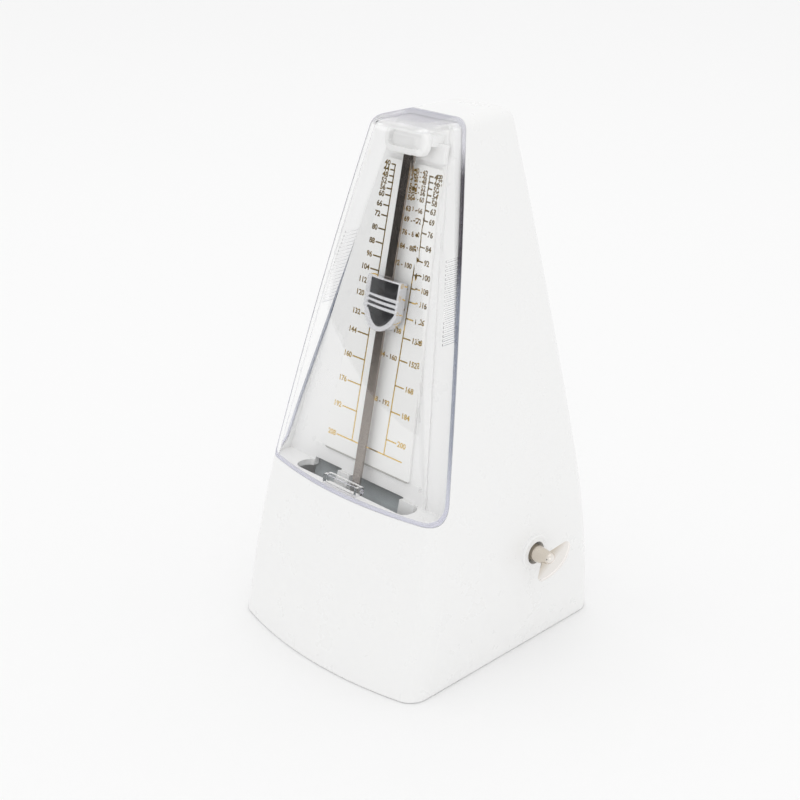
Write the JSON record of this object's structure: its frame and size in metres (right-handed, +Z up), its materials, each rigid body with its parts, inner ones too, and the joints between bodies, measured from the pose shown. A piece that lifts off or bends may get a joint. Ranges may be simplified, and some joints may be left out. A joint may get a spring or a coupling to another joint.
{
  "type": "metronome",
  "caption": "Spring-driven pendulum metronome in a white pyramid case, with a clear lift-off front cover, a sliding weight on the rod and a winding key on its side.",
  "frame": {"origin": "middle of the whole part's box, key included, on the surface it stands on", "axes": "+Z up, -Y out of the front, +X towards the winding key"},
  "size_m": [0.1254, 0.1226, 0.2245],
  "materials": {
    "case_white": "moulded gloss white",
    "base_white": "moulded matt white",
    "foot_rubber": "matt",
    "clear_plastic": "clear polished",
    "plate_white": "satin white, gold print",
    "zinc_steel": "zinc plated",
    "spring_steel": "blued grey",
    "rod_steel": "brushed",
    "brass": "machined",
    "cast_iron": "plain cast",
    "chrome": "polished chrome",
    "nickel": "polished nickel"
  },
  "bodies": {
    "case": {"case_shell": "case_white", "base_plate": "base_white", "feet": "foot_rubber", "base_screws": "zinc_steel", "movement_screws": "zinc_steel", "scale_plate": "plate_white", "rod_clip": "case_white", "inner_plate": "zinc_steel", "outer_plate": "zinc_steel", "pillars": "brass", "pillar_screws": "zinc_steel", "train_bushes": "brass", "click_screw": "zinc_steel", "click_spring": "spring_steel", "slot_sheet": "zinc_steel", "front_bridge": "zinc_steel", "bridge_screws": "zinc_steel", "front_bush": "brass", "rear_bridge": "zinc_steel", "rear_bush": "brass"},
    "cover": {"clear_cover": "clear_plastic"},
    "pendulum": {"pendulum_arbor": "spring_steel", "pendulum_rod": "rod_steel", "rod_hub": "brass", "pendulum_bob": "cast_iron", "entry_pallet": "spring_steel", "exit_pallet": "spring_steel"},
    "weight": {"sliding_weight": "chrome", "weight_spring": "spring_steel"},
    "winding": {"winding_key": "nickel", "winding_arbor": "spring_steel", "ratchet_wheel": "spring_steel"},
    "barrel": {"spring_barrel": "brass", "barrel_cover": "brass", "mainspring": "spring_steel"},
    "second": {"second_arbor": "spring_steel", "second_wheel": "brass"},
    "escape": {"escape_arbor": "spring_steel", "escape_wheel": "brass"},
    "click": {"click": "spring_steel"}
  },
  "joints": [
    {"name": "pendulum_swing", "type": "hinge", "parent": "case", "child": "pendulum", "pos_m": [-0.0071, -0.03735, 0.05228], "axis": [0, -0.9755, 0.2198], "range_deg": [-4.5, 4.5]},
    {"name": "weight_slide", "type": "slide", "parent": "pendulum", "child": "weight", "axis": [0, 0.2198, 0.9755], "range_m": [-0.058, 0.04]},
    {"name": "cover_lift", "type": "slide", "parent": "case", "child": "cover", "axis": [0, -0.9755, 0.2198], "range_m": [0, 0.08]},
    {"name": "key_turn", "type": "hinge", "parent": "case", "child": "winding", "pos_m": [-0.0071, 0.01967, 0.0432], "axis": [1, 0, 0], "continuous": true},
    {"name": "barrel_turn", "type": "hinge", "parent": "case", "child": "barrel", "pos_m": [-0.0071, 0.01967, 0.0432], "axis": [1, 0, 0], "continuous": true},
    {"name": "second_turn", "type": "hinge", "parent": "case", "child": "second", "pos_m": [-0.0071, -0.00424, 0.05637], "axis": [1, 0, 0], "continuous": true},
    {"name": "escape_turn", "type": "hinge", "parent": "case", "child": "escape", "pos_m": [-0.0071, -0.01979, 0.04833], "axis": [1, 0, 0], "continuous": true},
    {"name": "click_lift", "type": "hinge", "parent": "case", "child": "click", "pos_m": [-0.0071, 0.02167, 0.0607], "axis": [1, 0, 0], "range_deg": [-12, 0], "stiffness_Nm_per_rad": 0.002, "springref_deg": 5.73}
  ],
  "couplings": [
    {"joint": "second_turn", "follows": "barrel_turn", "ratio": -6},
    {"joint": "escape_turn", "follows": "barrel_turn", "ratio": 36}
  ]
}
